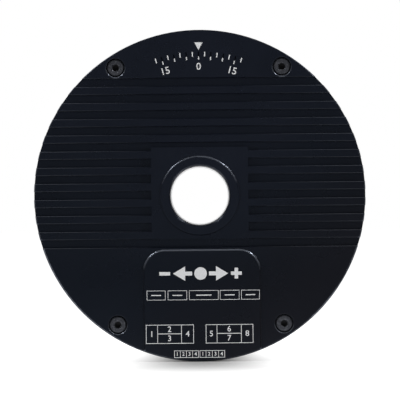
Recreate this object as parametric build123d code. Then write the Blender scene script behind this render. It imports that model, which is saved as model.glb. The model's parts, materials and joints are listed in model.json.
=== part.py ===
"""Hollow-shaft robot joint actuator.

A frameless motor drives a compound planetary gear. The housing, the motor and the controller
stand still, and the output flange turns with a hollow tube that runs through the whole joint.

The pieces are built on a stack axis: height 0 is the front mounting face, heights grow towards
the rear cover, x points right and y points up as seen from the rear. The finished pieces are
then turned so that the stack axis points along -Y and y becomes +Z.
"""
from build123d import *
import os
from math import acos, cos, pi, radians, sin, sqrt, tan

# Driving dimensions in millimetres: housing
housing_diameter = 142.0
housing_wall = 9.0
housing_edge_chamfer = 0.8
output_proud = 1.5
rotor_end_gap = 0.5

# Rear cover
cover_skirt_height = 14.0
cover_base = 2.6
cover_hole_play = 0.3
cover_hole_chamfer = 0.6
cover_rim_rounding = 0.6
cover_joint_chamfer = 0.5
cover_recess_margin = 2.5
cover_recess_depth = 2.0
cover_lug_wall = 1.0
groove_count = 11
groove_depth = 3.4
groove_share = 0.5065
groove_edge_rounding = 0.35
groove_screw_gap = 0.65
plateau_margin = 3.7
plateau_lower_margin = 1.4
boss_wall = 4.3
boss_height = 0.8
boss_rounding = 0.7
pad_left_margin = 1.6
pad_right_margin = 2.8
pad_boss_gap = 5.8
pad_groove_gap = 0.9
pad_corner_radius = 9.2
pad_height = 1.2
pad_edge_rounding = 1.0

# Through tube and rotor sleeve
tube_wall = 1.5
tube_end_gap = 0.5
sleeve_gap = 1.0
sleeve_wall = 2.5

# Compound planetary gear: the fixed stage is nearer the motor, the output stage nearer the flange
sun_teeth = 36
fixed_ring_teeth = 76
output_planet_teeth = 16
output_ring_teeth = 72
planet_count = 4
pressure_angle = 20.0
gear_width = 9.0
gear_step_gap = 1.0
gear_backlash = 0.12
root_depth = 1.25
ring_tooth_height = 0.8
ring_gear_wall = 2.4375
sun_gear_wall = 3.4375
fixed_ring_wall = 4.4
planet_pin_radius = 3.0
planet_bush_wall = 1.2
planet_end_gap = 0.5
carrier_plate = 3.0
carrier_margin = 2.3
carrier_post_radius = 5.0
carrier_hub_length = 9.0
carrier_bush_wall = 1.4
carrier_hub_gap = 0.72
sun_boss_wall = 2.4

# Output flange and its crossed-roller bearing
flange_thickness = 7.0
flange_rim_wall = 3.0
flange_hub_gap = 3.0
flange_hub_wall = 3.0
flange_shoulder = 3.0
pilot_depth = 1.0
output_bolt_circle = 72.0
output_bolt_count = 8
output_tap_radius = 2.1
output_tap_depth = 5.5
output_dowel_radius = 2.5
key_radius = 1.25
key_count = 6
cross_roller_diameter = 5.0
cross_roller_length = 4.6
cross_roller_count = 24
cross_bearing_width = 10.0
cross_bearing_height = 10.0
cross_bearing_gap = 1.2
lock_ring_height = 3.0
lock_ring_width = 3.2
lock_slot_width = 4.0
lock_slot_depth = 1.2
lock_slot_count = 4
seal_inset = 0.2
seal_lip = 1.2
seal_web = 0.5
seal_slope = 0.6
front_lip = 2.5
front_lip_width = 3.0

# Rotor bearings
bearing_section = 6.0
bearing_height = 7.0
bearing_ring_wall = 1.8
bearing_rib_height = 0.5
bearing_rib_width = 1.0
bearing_roller_count = 12
bearing_lip = 1.5
bearing_lip_width = 2.0
bearing_hub_wall = 3.5

# Motor
bulkhead_thickness = 4.0
winding_end_gap = 1.0
winding_overhang = 2.8
winding_gap = 1.4
winding_shoe_gap = 1.5
winding_clearance = 0.3
stator_length = 12.0
stator_yoke = 4.5
stator_tooth_count = 24
stator_tooth_share = 0.475
stator_tooth_length = 12.5
stator_shoe_height = 1.4
stator_shoe_gap = 2.4
air_gap = 0.7
magnet_thickness = 2.3
magnet_count = 28
magnet_gap = 0.6
back_iron_wall = 3.5
rotor_rim_wall = 3.0
rotor_web = 3.0
rotor_boss_wall = 4.5
rotor_hole_margin = 1.25
rotor_hole_count = 6
cooling_groove_count = 5
cooling_groove_width = 2.4
cooling_groove_pitch = 4.8
cooling_groove_depth = 2.2

# Controller and its plate
driver_plate_thickness = 3.0
driver_plate_gap = 1.0
driver_plate_lug_radius = 4.0
driver_plate_lug_reach = 2.5
driver_plate_lug_play = 0.2
driver_plate_lug_angles = (20.0, 90.0, 160.0, 200.0, 340.0)
lock_nut_height = 3.0
lock_nut_width = 3.3
rotor_magnet_height = 1.5
rotor_magnet_width = 4.5
output_magnet_height = 1.5
output_magnet_width = 4.5
sensor_gap = 0.5
sensor_size = 3.0
sensor_height = 0.8
board_thickness = 1.6
board_bore_gap = 1.0
board_edge_gap = 1.6
transistor_size = (5.0, 6.0, 1.2)
transistor_count = 12
transistor_edge = 14.0
transistor_spread = 216.0
thermal_pad_width = 8.0
thermal_pad_thickness = 1.2
capacitor_radius = 4.0
capacitor_height = 3.6
capacitor_edge = 16.0
capacitor_angles = (45.0, 60.0, 75.0, 105.0, 120.0, 135.0)
standoff_radius = 3.0
standoff_edge = 6.0
standoff_angles = (35.0, 145.0, 215.0, 325.0)
phase_lead_radius = 1.2
phase_lead_edge = 6.0
phase_lead_play = 0.5
phase_lead_angles = (172.0, 180.0, 188.0)

# Connectors in the lower side of the cover
connector_face_inset = 6.0
bezel_depth = 4.0
bezel_width = 46.0
bezel_frame = 1.2
bezel_side = 1.4
power_socket_gap = 7.2
power_socket_height = 6.4
power_socket_wall = 1.0
power_socket_depth = 12.0
power_contact_radius = 1.0
power_contact_edge = 4.0
small_contact_size = 0.8
small_contact_spacing = 2.5
signal_socket_centres = (-6.2, 6.2)
signal_socket_size = (9.0, 3.4)
signal_socket_wall = 0.6
signal_socket_depth = 8.0
signal_contact_spacing = 1.6
power_contact_length = 9.0
signal_contact_length = 5.0
window_play = 0.1
window_margin = 3.0
socket_play = 0.2

# Fasteners: shank radius, head radius, head height, hexagon size
M3 = (1.5, 2.75, 3.0, 2.5)
M4 = (2.0, 3.5, 4.0, 3.0)
cover_screw_pad_gap = 5.85
cover_screw_edge = 5.48
cover_screw_turn = 15.0
cover_screw_length = 26.0
cover_screw_head_depth = 0.3
counterbore_clearance = 0.45
counterbore_rounding = 0.45
housing_screw_count = 8
housing_screw_engagement = 7.0
mount_hole_radius = 2.1
mount_hole_depth = 10.0
mount_hole_count = 8
ring_screw_count = 6
ring_screw_edge = 4.0
ring_flange_height = 3.8
ring_screw_engagement = 5.0
driver_screw_engagement = 5.0
low_head = 1.6
carrier_screw_engagement = 8.0
countersink_depth = 1.4
hexagon_depth = 2.2
head_chamfer = 0.3

# Clearances
running_clearance = 0.03
bearing_clearance = 0.05
free_gap = 0.5
hole_play = 0.1
edge_chamfer = 0.4
join_overlap = 0.5

# Radial stack, from the housing inwards to the bore
housing_radius = housing_diameter / 2
housing_inner = housing_radius - housing_wall
mount_radius = housing_radius - housing_wall / 2
ring_screw_radius = housing_inner - ring_screw_edge
lip_inner = housing_inner - front_lip_width
flange_rim_outer = housing_inner - cross_bearing_width
flange_outer = flange_rim_outer + flange_shoulder
roller_pitch = (flange_rim_outer + housing_inner) / 2
output_ring_outer = flange_rim_outer - flange_rim_wall
output_module = (output_ring_outer - ring_gear_wall) / (output_ring_teeth / 2 + root_depth)
gear_centre = output_module * (output_ring_teeth - output_planet_teeth) / 2
fixed_planet_teeth = (fixed_ring_teeth - sun_teeth) // 2
gear_module = 2 * gear_centre / (sun_teeth + fixed_planet_teeth)
sun_radius = gear_module * sun_teeth / 2
fixed_ring_radius = gear_module * fixed_ring_teeth / 2
fixed_ring_outer = fixed_ring_radius + root_depth * gear_module + fixed_ring_wall
sleeve_outer = sun_radius - root_depth * gear_module - sun_gear_wall
sleeve_inner = sleeve_outer - sleeve_wall
tube_outer = sleeve_inner - sleeve_gap
bore_radius = tube_outer - tube_wall
bearing_outer = sleeve_outer + bearing_section
flange_hub_inner = tube_outer + flange_hub_gap
flange_hub_radius = flange_hub_inner + flange_hub_wall
pilot_radius = flange_hub_radius
carrier_hub_outer = gear_centre - output_module * (output_planet_teeth / 2 + 1) - carrier_hub_gap
stator_outer = housing_inner
slot_bottom = stator_outer - stator_yoke
stator_inner = slot_bottom - stator_tooth_length
stator_tooth_width = stator_tooth_share * 2 * pi * stator_inner / stator_tooth_count
magnet_outer = stator_inner - air_gap
magnet_inner = magnet_outer - magnet_thickness
back_iron_inner = magnet_inner - back_iron_wall
rotor_rim_inner = back_iron_inner - rotor_rim_wall
driver_plate_lug_circle = housing_inner + driver_plate_lug_reach
transistor_circle = housing_inner - transistor_edge
capacitor_circle = housing_inner - capacitor_edge
standoff_circle = housing_inner - standoff_edge
phase_lead_circle = housing_inner - phase_lead_edge

# Places on the rear cover, from the bore and the connectors outwards
cover_hole_radius = bore_radius + cover_hole_play
boss_radius = cover_hole_radius + boss_wall
cover_recess_radius = tube_outer + output_magnet_width + cover_recess_margin
connector_face_offset = housing_radius - connector_face_inset
power_socket_size = ((bezel_width - power_socket_gap) / 2 - bezel_side, power_socket_height)
power_socket_x = (power_socket_gap + power_socket_size[0]) / 2
power_socket_centres = (-power_socket_x, power_socket_x)
power_contact_spacing = power_socket_size[0] / 2 - power_contact_edge
pad_left = -bezel_width / 2 - pad_left_margin
pad_right = bezel_width / 2 + pad_right_margin
pad_top = -boss_radius - pad_boss_gap
counterbore_radius = M4[1] + counterbore_clearance
cover_screw_x = pad_right + counterbore_radius + cover_screw_pad_gap
cover_screw_y = sqrt((housing_radius - cover_screw_edge) ** 2 - cover_screw_x ** 2)
first_groove_top = cover_screw_y - counterbore_radius - groove_screw_gap
groove_field = first_groove_top - pad_top - pad_groove_gap
groove_pitch = groove_field / (groove_count - 1 + groove_share)
groove_width = groove_share * groove_pitch

# Heights along the stack
flange_front = -output_proud
flange_back = flange_front + flange_thickness
carrier_front = flange_back + rotor_end_gap
output_stage = carrier_front + carrier_plate + planet_end_gap
fixed_stage = output_stage + gear_width + gear_step_gap
gear_end = fixed_stage + gear_width
carrier_rear = gear_end + planet_end_gap
carrier_end = carrier_rear + carrier_plate
bulkhead_front = carrier_end + rotor_end_gap
bulkhead_rear = bulkhead_front + bulkhead_thickness
front_bearing = bulkhead_front + bearing_lip
stator_front = bulkhead_rear + winding_end_gap + winding_overhang
stator_rear = stator_front + stator_length
plate_front = stator_rear + winding_overhang + winding_end_gap
plate_rear = plate_front + driver_plate_thickness
rear_bearing = plate_rear - bearing_lip - bearing_height
nut_front = rear_bearing + bearing_height
rotor_magnet_front = nut_front + lock_nut_height
sleeve_end = rotor_magnet_front + rotor_magnet_height
board_front = sleeve_end + sensor_gap + sensor_height
board_rear = board_front + board_thickness
output_magnet_front = board_rear + sensor_height + sensor_gap
transistor_top = board_rear + transistor_size[2]
cover_inside = transistor_top + thermal_pad_thickness
cover_face = cover_inside + cover_base + groove_depth
cover_front = cover_face - cover_skirt_height
tube_end = cover_inside + cover_recess_depth - tube_end_gap
cover_screw_seat = cover_face - M4[2] - cover_screw_head_depth
housing_screw_head = M3[2] + cover_screw_head_depth
cross_bearing_front = front_lip
cross_bearing_rear = cross_bearing_front + cross_bearing_height
ring_flange_front = gear_end - ring_flange_height


def outline(*corners):
    """Face inside the corners. A square corner's third value, where it has one, rounds it."""
    if all(len(corner) == 2 for corner in corners):
        return make_face(Polyline(*corners, close=True))
    places = [Vector(*corner[:2]) for corner in corners]
    arcs = []
    for n, corner in enumerate(corners):
        here = places[n]
        rounding = corner[2] if len(corner) > 2 else 0.0
        start = here + (places[n - 1] - here).normalized() * rounding
        end = here + (places[(n + 1) % len(places)] - here).normalized() * rounding
        arcs.append((start, here, end, rounding))
    edges = []
    for n, (start, here, end, rounding) in enumerate(arcs):
        if rounding:
            centre = start + end - here
            edges.append(ThreePointArc(start, centre + (here - centre) * sqrt(0.5), end))
        following = arcs[(n + 1) % len(arcs)][0]
        if (following - end).length > 1e-6:
            edges.append(Line(end, following))
    return make_face(edges)


def turned(*corners):
    """Solid of revolution about the stack axis, from (radius, height) corners."""
    return revolve(Plane.XZ * outline(*corners), Axis.Z)


def ring(outer, inner, bottom, top, chamfer=0.0):
    """Flat ring, with its outer edges chamfered where a chamfer is given."""
    if not chamfer:
        return turned((inner, bottom), (outer, bottom), (outer, top), (inner, top))
    return turned(
        (inner, bottom),
        (outer - chamfer, bottom),
        (outer, bottom + chamfer),
        (outer, top - chamfer),
        (outer - chamfer, top),
        (inner, top),
    )


def rod(radius, bottom, top):
    """Plain cylinder on the stack axis."""
    return Pos(0, 0, (bottom + top) / 2) * Cylinder(radius, top - bottom)


def block(width, depth, height):
    """Box centred in x and y, standing on height 0."""
    return Pos(0, 0, height / 2) * Box(width, depth, height)


def polar(radius, angle):
    """Place at a radius and an angle round the stack axis, turned to face outwards."""
    return Rot(0, 0, angle) * Pos(radius, 0, 0)


def round_pattern(shape, radius, count, start=0.0):
    """Copies of a shape spread evenly on a circle."""
    return [polar(radius, start + 360 * n / count) * shape for n in range(count)]


def cap_screw(size, length, hexagon=True):
    """Socket screw with its head's underside at height 0 and its shank pointing down."""
    shank, head, height, across = size
    screw = turned(
        (0, -length),
        (shank, -length),
        (shank, 0),
        (head, 0),
        (head, height - head_chamfer),
        (head - head_chamfer, height),
        (0, height),
    )
    if hexagon:
        socket = extrude(RegularPolygon(across / 2, 6, major_radius=False), hexagon_depth)
        screw -= Pos(0, 0, height - hexagon_depth) * socket
    return screw


def involute(angle):
    """Involute function of a pressure angle in radians."""
    return tan(angle) - angle


def flank(teeth, module, radius, internal):
    """Half a tooth's angle, in radians, at a radius on its involute flank."""
    pitch = module * teeth / 2
    base = pitch * cos(radians(pressure_angle))
    local = involute(acos(base / max(radius, base)))
    middle = (pi * module / 2 - gear_backlash) / (2 * pitch)
    side = involute(radians(pressure_angle)) - local
    return middle - side if internal else middle + side


def tooth_outline(teeth, module, radii, internal=False):
    """Closed outline through both flanks of every tooth, at the given radii from root to tip."""
    points = []
    for n in range(teeth):
        middle = 2 * pi * n / teeth
        for radius in radii:
            turn = middle - flank(teeth, module, radius, internal)
            points.append((radius * cos(turn), radius * sin(turn)))
        for radius in reversed(radii):
            turn = middle + flank(teeth, module, radius, internal)
            points.append((radius * cos(turn), radius * sin(turn)))
    return make_face(Polyline(*points, close=True))


def spur_gear(teeth, module, bottom, top):
    """External gear without a bore, with each flank drawn from root over pitch to tip."""
    pitch = module * teeth / 2
    radii = [pitch - root_depth * module, pitch, pitch + module]
    return Pos(0, 0, bottom) * extrude(tooth_outline(teeth, module, radii), top - bottom)


def ring_gear_opening(teeth, module, bottom, top):
    """Space inside an internal gear, which is cut from its rim."""
    pitch = module * teeth / 2
    radii = [pitch + root_depth * module, pitch - ring_tooth_height * module]
    outline = tooth_outline(teeth, module, radii, internal=True)
    return Pos(0, 0, bottom) * extrude(outline, top - bottom)


def cover_screw_places():
    """Where the four cover screws stand, seen from the rear."""
    return [(sx * cover_screw_x, sy * cover_screw_y) for sx in (-1, 1) for sy in (-1, 1)]


def cooling_grooves():
    """Long bars that cut the cooling grooves, with rounded edges along their mouths."""
    length = housing_diameter + 2
    rounding = groove_edge_rounding
    cutters = []
    for n in range(groove_count):
        upper = first_groove_top - n * groove_pitch
        lower = upper - groove_width
        section = outline(
            (lower, cover_face - groove_depth),
            (upper, cover_face - groove_depth),
            (upper, cover_face, rounding),
            (upper + rounding, cover_face),
            (upper + rounding, cover_face + 1),
            (lower - rounding, cover_face + 1),
            (lower - rounding, cover_face),
            (lower, cover_face, rounding),
        )
        cutters.append(extrude(Plane.YZ * section, length / 2, both=True))
    return cutters


def pad_outline():
    """Plan of the raised pad: square corners below, round ones above, and past the rim."""
    corner = pad_corner_radius
    bottom = -housing_radius - 1
    sides = Polyline(
        (pad_left, pad_top - corner),
        (pad_left, bottom),
        (pad_right, bottom),
        (pad_right, pad_top - corner),
    )
    right = RadiusArc((pad_right, pad_top - corner), (pad_right - corner, pad_top), -corner)
    left = RadiusArc((pad_left + corner, pad_top), (pad_left, pad_top - corner), -corner)
    return make_face(sides + right + Line(right @ 1, left @ 0) + left)


def raised_pad():
    """Pad over the connectors, with its upper edges rounded and its foot cut round at the rim."""
    pad = Pos(0, 0, cover_face - join_overlap) * extrude(pad_outline(), pad_height + join_overlap)
    pad = fillet(pad.edges().group_by(Axis.Z)[-1], pad_edge_rounding)
    return pad & rod(housing_radius - cover_rim_rounding, 0, cover_face + pad_height + 1)


def rear_cover():
    """Finned cover with the raised connector pad, the boss round the bore and the skirt."""
    joint = cover_joint_chamfer
    inner = housing_inner + free_gap
    cup = turned(
        (inner, cover_front),
        (housing_radius - joint, cover_front),
        (housing_radius, cover_front + joint),
        (housing_radius, cover_face, cover_rim_rounding),
        (0, cover_face),
        (0, cover_inside),
        (inner, cover_inside),
    )
    upper = boss_radius + plateau_margin
    lower = boss_radius + plateau_lower_margin
    plateau = Pos(0, (upper - lower) / 2, 0) * block(2 * upper, upper + lower, cover_face)
    bars = [bar - plateau for bar in cooling_grooves()]
    cup -= bars
    top = cover_face + boss_height
    cup += turned(
        (0, cover_face - join_overlap),
        (boss_radius, cover_face - join_overlap),
        (boss_radius, top, boss_rounding),
        (0, top),
    )
    cup += raised_pad()
    hole = cover_hole_radius
    cup -= turned(
        (0, 0),
        (hole, 0),
        (hole, top - cover_hole_chamfer),
        (hole + cover_hole_chamfer + 1, top + 1),
        (0, top + 1),
    )
    cup -= rod(cover_recess_radius, cover_inside - 1, cover_inside + cover_recess_depth)
    within = rod(housing_radius - joint, cover_front, cover_face)
    for x, y in cover_screw_places():
        lug = rod(counterbore_radius + cover_lug_wall, cover_front, cover_inside + join_overlap)
        cup += (Pos(x, y, 0) * lug) & within
        cup -= Pos(x, y, 0) * cover_counterbore()
    cup -= connector_window()
    return cup


def cover_counterbore():
    """Stepped hole of one cover screw, with a rounded mouth."""
    shank = M4[0] + counterbore_clearance
    mouth = counterbore_radius + counterbore_rounding
    return turned(
        (0, 0),
        (shank, 0),
        (shank, cover_screw_seat),
        (counterbore_radius, cover_screw_seat),
        (counterbore_radius, cover_face, counterbore_rounding),
        (mouth, cover_face),
        (mouth, cover_face + 1),
        (0, cover_face + 1),
    )


def connector_window():
    """Notch through the lower skirt, with the pocket behind the pad, for the connectors."""
    reach = housing_radius + 1
    depth = reach - connector_face_offset + bezel_depth + power_socket_depth + window_margin
    height = window_top() - cover_front + 1
    notch = block(bezel_width + 2 * window_play, depth, height)
    return Pos(0, -reach + depth / 2, cover_front - 1) * notch


def window_top():
    """Height of the connector window's ceiling, behind the raised pad."""
    return board_rear + power_socket_size[1] + 2 * socket_play


def cover_screws():
    """Four socket screws that hold the rear cover."""
    screw = cap_screw(M4, cover_screw_length)
    screw = Rot(0, 0, cover_screw_turn) * screw
    return [Pos(x, y, cover_screw_seat) * screw for x, y in cover_screw_places()]


def socket_shell(size, wall, depth, face):
    """Open box of a connector, mouth down at the face offset, in x and stack height."""
    width, height = size
    shell = Pos(0, -face + depth / 2, height / 2) * Box(width, depth, height)
    cavity = Box(width - 2 * wall, depth, height - 2 * wall)
    return shell - Pos(0, -face + depth / 2 - wall, height / 2) * cavity


def connector_bezel():
    """Plastic frame that closes the window round the connectors."""
    bottom = cover_front + window_play
    top = window_top() - window_play
    frame = Pos(0, -connector_face_offset + bezel_depth / 2, bottom) * block(
        bezel_width, bezel_depth, top - bottom
    )
    for x in power_socket_centres:
        width, height = power_socket_size
        frame -= Pos(x, -connector_face_offset, board_rear) * block(width, 3 * bezel_depth, height)
    for x in signal_socket_centres:
        width, height = signal_socket_size
        frame -= Pos(x, -connector_face_offset, board_front - height) * block(
            width, 3 * bezel_depth, height
        )
    edge = -connector_face_offset + bezel_depth
    opening = block(bezel_width - 2 * bezel_frame, 2 * bezel_frame, board_thickness)
    return frame - Pos(0, edge, board_front) * opening


def power_connectors():
    """Two power and data sockets on the rear side of the board."""
    face = connector_face_offset + free_gap
    shell = socket_shell(power_socket_size, power_socket_wall, power_socket_depth, face)
    return [Pos(x, 0, board_rear) * shell for x in power_socket_centres]


def signal_connectors():
    """Two small four-way sockets on the front side of the board."""
    face = connector_face_offset + free_gap
    shell = socket_shell(signal_socket_size, signal_socket_wall, signal_socket_depth, face)
    return [Pos(x, 0, board_front - signal_socket_size[1]) * shell for x in signal_socket_centres]


def power_contacts():
    """Two round power pins and two small data pins in each power socket."""
    back = -connector_face_offset - free_gap + power_socket_depth - power_socket_wall
    level = board_rear + power_socket_size[1] / 2
    pin = Rot(90, 0, 0) * rod(power_contact_radius, 0, power_contact_length)
    small = Pos(0, -power_contact_length / 2, -small_contact_size / 2) * block(
        small_contact_size, power_contact_length, small_contact_size
    )
    pins = []
    for x in power_socket_centres:
        for side in (-1, 1):
            pins.append(Pos(x + side * power_contact_spacing, back, level) * pin)
            offset = side * small_contact_spacing / 2
            pins.append(Pos(x + offset, back, level) * small)
    return pins


def signal_contacts():
    """Four small pins in each signal socket."""
    back = -connector_face_offset - free_gap + signal_socket_depth - signal_socket_wall
    level = board_front - signal_socket_size[1] / 2
    pin = Pos(0, -signal_contact_length / 2, -small_contact_size / 4) * block(
        small_contact_size / 2, signal_contact_length, small_contact_size / 2
    )
    starts = [(n - 1.5) * signal_contact_spacing for n in range(4)]
    return [Pos(x + step, back, level) * pin for x in signal_socket_centres for step in starts]


def board_outline_radius():
    """Outer radius of the controller board."""
    return housing_inner - board_edge_gap


def controller_board():
    """Round board with a flat lower edge that carries the connectors."""
    outer = board_outline_radius()
    board = ring(outer, tube_outer + board_bore_gap, board_front, board_rear)
    flat = connector_face_offset - bezel_depth - bezel_frame
    board -= Pos(0, -flat - outer / 2, board_front - 1) * block(2 * outer, outer, board_thickness + 2)
    for angle in standoff_angles:
        board -= polar(standoff_circle, angle) * rod(M3[0] + hole_play, 0, board_rear + 1)
    for angle in phase_lead_angles:
        board -= polar(phase_lead_circle, angle) * rod(phase_lead_radius, 0, board_rear + 1)
    return board


def power_transistors():
    """Switching transistors on the rear side of the board, under the cover's grooves."""
    width, depth, height = transistor_size
    body = Pos(0, 0, board_rear) * block(width, depth, height)
    step = transistor_spread / transistor_count
    first = 90 - (transistor_count - 1) / 2 * step
    return [polar(transistor_circle, first + n * step) * body for n in range(transistor_count)]


def thermal_pad():
    """Soft arc that carries the transistors' heat to the cover."""
    width = thermal_pad_width / 2
    whole = ring(transistor_circle + width, transistor_circle - width, transistor_top, cover_inside)
    level = transistor_circle * cos(radians(transistor_spread / 2))
    lower = Pos(0, level - housing_radius, 0) * block(housing_diameter, housing_diameter, cover_face)
    return whole - lower


def bus_capacitors():
    """Flat capacitors on the front side of the board."""
    body = ring(capacitor_radius, 0, board_front - capacitor_height, board_front, edge_chamfer)
    return [polar(capacitor_circle, angle) * body for angle in capacitor_angles]


def encoder_sensors():
    """Sensor chips that read the rotor's magnet from the front and the output's from the rear."""
    rotor_radius = sleeve_outer + rotor_magnet_width / 2
    output_radius = tube_outer + output_magnet_width / 2
    rotor_chip = polar(rotor_radius, 90) * Pos(0, 0, board_front - sensor_height) * block(
        sensor_size, sensor_size, sensor_height
    )
    output_chip = polar(output_radius, 90) * Pos(0, 0, board_rear) * block(
        sensor_size, sensor_size, sensor_height
    )
    return [rotor_chip, output_chip]


def board_standoffs():
    """Round spacers between the driver plate and the board."""
    body = ring(standoff_radius, M3[0], plate_rear, board_front)
    return [polar(standoff_circle, angle) * body for angle in standoff_angles]


def board_screws():
    """Low screws that hold the board to its spacers."""
    size = (M3[0], M3[1], low_head, M3[3])
    screw = Pos(0, 0, board_rear) * cap_screw(size, board_rear - plate_front, hexagon=False)
    return [polar(standoff_circle, angle) * screw for angle in standoff_angles]


def driver_plate():
    """Plate between motor and controller, with the rear bearing seat and five screw lugs."""
    hub = bearing_outer + bearing_hub_wall
    plate = turned(
        (bearing_outer, rear_bearing),
        (hub, rear_bearing),
        (hub, plate_front),
        (housing_inner - driver_plate_gap, plate_front),
        (housing_inner - driver_plate_gap, plate_rear),
        (bearing_outer - bearing_lip_width, plate_rear),
        (bearing_outer - bearing_lip_width, nut_front),
        (bearing_outer, nut_front),
    )
    lug = rod(driver_plate_lug_radius, plate_front, plate_rear)
    neck = Pos(-driver_plate_lug_radius, 0, plate_front) * block(
        2 * driver_plate_lug_radius, 2 * driver_plate_lug_radius, driver_plate_thickness
    )
    for angle in driver_plate_lug_angles:
        place = polar(driver_plate_lug_circle, angle)
        plate += place * (lug + neck)
        plate -= place * rod(M3[0] + hole_play, 0, plate_rear + 1)
        plate -= place * rod(M3[1] + hole_play, plate_rear - low_head, plate_rear + 1)
    for angle in standoff_angles:
        plate -= polar(standoff_circle, angle) * rod(M3[0], 0, plate_rear + 1)
    lead_hole = phase_lead_radius + phase_lead_play
    for angle in phase_lead_angles:
        plate -= polar(phase_lead_circle, angle) * rod(lead_hole, 0, plate_rear + 1)
    return plate


def driver_plate_screws():
    """Screws through the lugs into the motor housing."""
    size = (M3[0], M3[1], low_head, M3[3])
    length = driver_plate_thickness - low_head + driver_screw_engagement
    screw = Pos(0, 0, plate_rear - low_head) * cap_screw(size, length, hexagon=False)
    return [polar(driver_plate_lug_circle, angle) * screw for angle in driver_plate_lug_angles]


def motor_housing():
    """Finned shell with the bulkhead that parts motor and gear and seats the front bearing."""
    edge = housing_edge_chamfer
    hub = bearing_outer + bearing_hub_wall
    recess = fixed_ring_radius + root_depth * gear_module
    body = turned(
        (recess, gear_end),
        (housing_radius - edge, gear_end),
        (housing_radius, gear_end + edge),
        (housing_radius, cover_front - edge),
        (housing_radius - edge, cover_front),
        (housing_inner, cover_front),
        (housing_inner, bulkhead_rear),
        (hub, bulkhead_rear),
        (hub, front_bearing + bearing_height),
        (bearing_outer, front_bearing + bearing_height),
        (bearing_outer, front_bearing),
        (bearing_outer - bearing_lip_width, front_bearing),
        (bearing_outer - bearing_lip_width, bulkhead_front),
        (recess, bulkhead_front),
    )
    middle = (gear_end + cover_front) / 2
    for n in range(cooling_groove_count):
        height = middle + (n - (cooling_groove_count - 1) / 2) * cooling_groove_pitch
        half = cooling_groove_width / 2
        floor = housing_radius - cooling_groove_depth
        body -= ring(housing_radius + 1, floor, height - half, height + half)
    lug = driver_plate_lug_radius + driver_plate_lug_play
    for angle in driver_plate_lug_angles:
        place = polar(driver_plate_lug_circle, angle)
        body -= place * rod(lug, plate_front, cover_front + 1)
        body -= place * Pos(-lug, 0, plate_front) * block(2 * lug, 2 * lug, cover_front + 1 - plate_front)
        body -= place * rod(M3[0], plate_front - driver_screw_engagement, cover_front + 1)
    for x, y in cover_screw_places():
        body -= Pos(x, y, 0) * rod(M4[0], cover_screw_seat - cover_screw_length, cover_front + 1)
    thread = rod(M3[0], 0, gear_end + housing_screw_engagement)
    for hole in round_pattern(thread, mount_radius, housing_screw_count):
        body -= hole
    thread = rod(M3[0], 0, gear_end + ring_screw_engagement)
    for hole in round_pattern(thread, ring_screw_radius, ring_screw_count):
        body -= hole
    return body


def stator_core():
    """Laminated stator ring with shoed teeth pointing inwards."""
    half_width = stator_tooth_width / 2
    shoe_half = pi / stator_tooth_count - stator_shoe_gap / 2 / stator_inner
    tooth = Polyline(
        (slot_bottom + 1, -half_width),
        (stator_inner + stator_shoe_height, -half_width),
        (stator_inner * cos(shoe_half), -stator_inner * sin(shoe_half)),
        (stator_inner, 0),
        (stator_inner * cos(shoe_half), stator_inner * sin(shoe_half)),
        (stator_inner + stator_shoe_height, half_width),
        (slot_bottom + 1, half_width),
        close=True,
    )
    outline = make_face(Circle(stator_outer).edges()) - Circle(slot_bottom)
    for place in round_pattern(make_face(tooth), 0, stator_tooth_count):
        outline += place
    return Pos(0, 0, stator_front) * extrude(outline, stator_length)


def stator_windings():
    """One coil round each stator tooth."""
    start = stator_inner + stator_shoe_height + winding_shoe_gap
    inner_width = stator_tooth_width + 2 * winding_clearance
    inner_length = stator_length + 2 * winding_clearance
    outer_width = 2 * start * tan(pi / stator_tooth_count) - winding_gap
    outer_length = stator_length + 2 * winding_overhang
    depth = slot_bottom - winding_clearance - start
    middle = stator_front + stator_length / 2
    coil = Box(depth, outer_width, outer_length) - Box(depth, inner_width, inner_length)
    coil = Pos(0, 0, middle) * coil
    return round_pattern(coil, start + depth / 2, stator_tooth_count)


def phase_leads():
    """Three conductors from the windings through the driver plate to the board."""
    lead = rod(phase_lead_radius, stator_rear + winding_overhang + winding_clearance, board_rear)
    return [polar(phase_lead_circle, angle) * lead for angle in phase_lead_angles]


def fixed_ring_gear():
    """Internal gear of the fixed stage, with the flange that centres it in the front housing."""
    body = turned(
        (0, fixed_stage),
        (fixed_ring_outer, fixed_stage),
        (fixed_ring_outer, ring_flange_front),
        (housing_inner, ring_flange_front),
        (housing_inner, gear_end),
        (0, gear_end),
    )
    body -= ring_gear_opening(fixed_ring_teeth, gear_module, fixed_stage - 1, gear_end + 1)
    for hole in round_pattern(rod(M3[0], 0, gear_end + 1), ring_screw_radius, ring_screw_count):
        body -= hole
    return body


def ring_gear_screws():
    """Screws that hold the fixed ring gear to the bulkhead."""
    screw = Rot(180, 0, 0) * cap_screw(M3, ring_flange_height + ring_screw_engagement, hexagon=False)
    return round_pattern(Pos(0, 0, ring_flange_front) * screw, ring_screw_radius, ring_screw_count)


def front_housing():
    """Front shell with the bearing seat, the lip for the seal and the mounting face."""
    edge = housing_edge_chamfer
    body = turned(
        (lip_inner, 0),
        (housing_radius - edge, 0),
        (housing_radius, edge),
        (housing_radius, gear_end - edge),
        (housing_radius - edge, gear_end),
        (housing_inner, gear_end),
        (housing_inner, front_lip),
        (lip_inner, front_lip),
    )
    screw_hole = rod(M3[0] + hole_play, -1, gear_end + 1)
    screw_hole += rod(M3[1] + counterbore_clearance, -1, housing_screw_head)
    for hole in round_pattern(screw_hole, mount_radius, housing_screw_count):
        body -= hole
    tapped = rod(mount_hole_radius, -1, mount_hole_depth)
    for hole in round_pattern(tapped, mount_radius, mount_hole_count, 180 / mount_hole_count):
        body -= hole
    return body


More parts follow.
